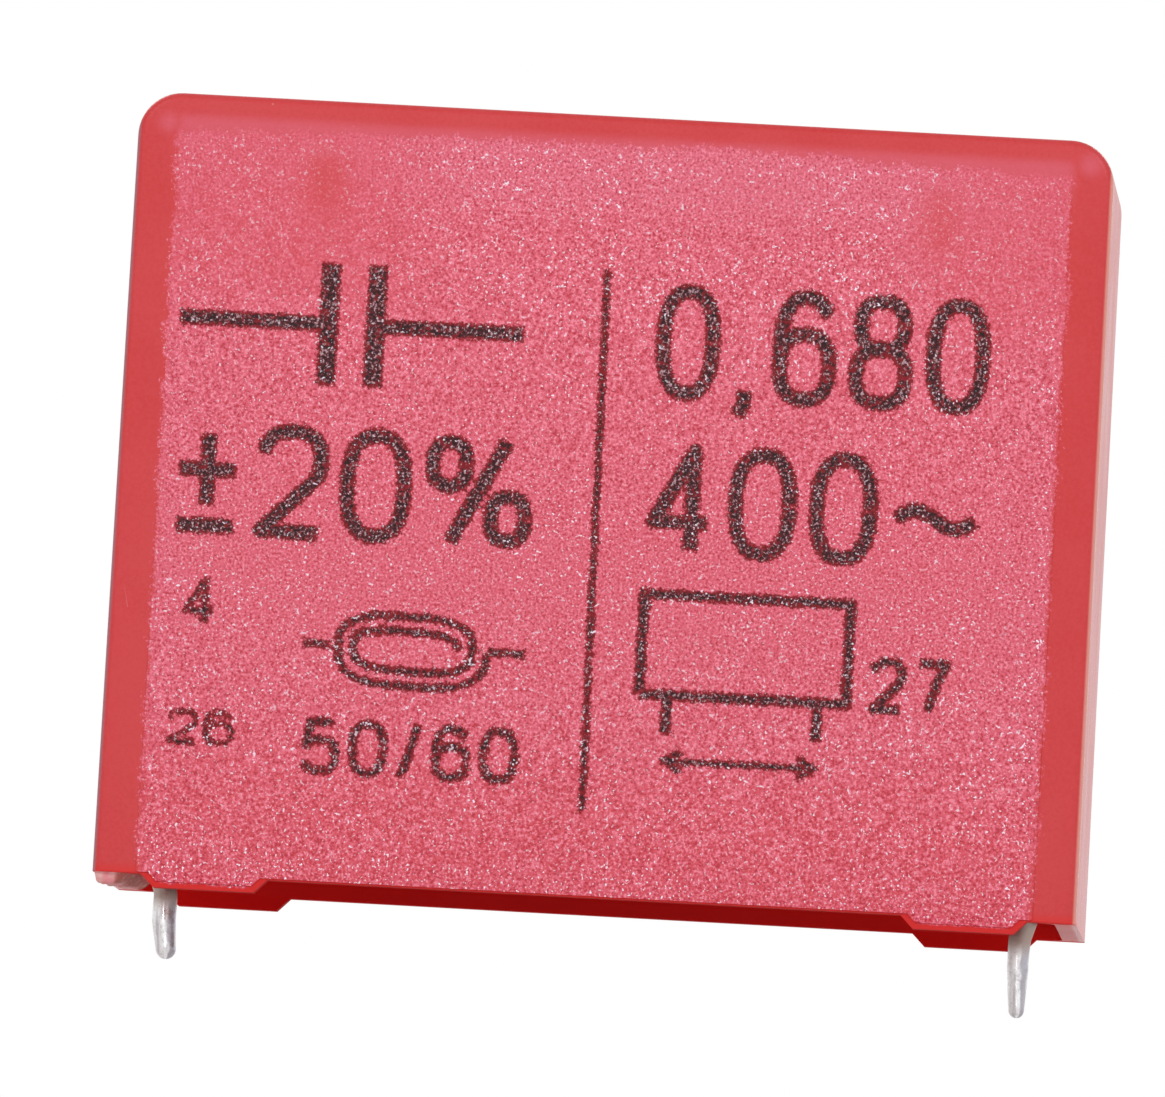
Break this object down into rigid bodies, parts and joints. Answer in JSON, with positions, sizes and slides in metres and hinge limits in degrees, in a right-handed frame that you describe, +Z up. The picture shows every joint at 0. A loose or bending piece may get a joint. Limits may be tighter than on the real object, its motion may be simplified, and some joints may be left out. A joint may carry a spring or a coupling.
{
  "type": "box film capacitor",
  "caption": "Box-shaped film capacitor: a moulded case on low feet, sealed with resin, with wire leads for through-hole soldering.",
  "frame": {"origin": "midway between the two leads, on the plane of the case's feet, which is the face of the circuit board it sits on", "axes": "+X from the left lead to the right lead along the case's length, +Y from the printed front to the back, +Z up from the board"},
  "size_m": [0.0314, 0.015, 0.0278],
  "materials": {
    "case_red": "moulded flame-retardant polyester, spark-eroded grain on the two large faces and smooth satin elsewhere",
    "marking": "dark printed marking, dull, broken up by the grain under it",
    "resin_red": "cast epoxy resin, glossy with a skin that creeps up the walls and the wires",
    "film": "metallised polypropylene film, wound tight",
    "wrap": "plain clear polypropylene film",
    "sprayed_metal": "flame-sprayed zinc, rough and grey",
    "tinned_wire": "tinned wire with a little old solder, bright but dimpled"
  },
  "bodies": {
    "root": {"case": "case_red", "resin_seal": "resin_red", "film_winding": "film", "outer_wrap": "wrap", "left_end_spray": "sprayed_metal", "right_end_spray": "sprayed_metal", "left_lead": "tinned_wire", "right_lead": "tinned_wire"}
  },
  "joints": []
}
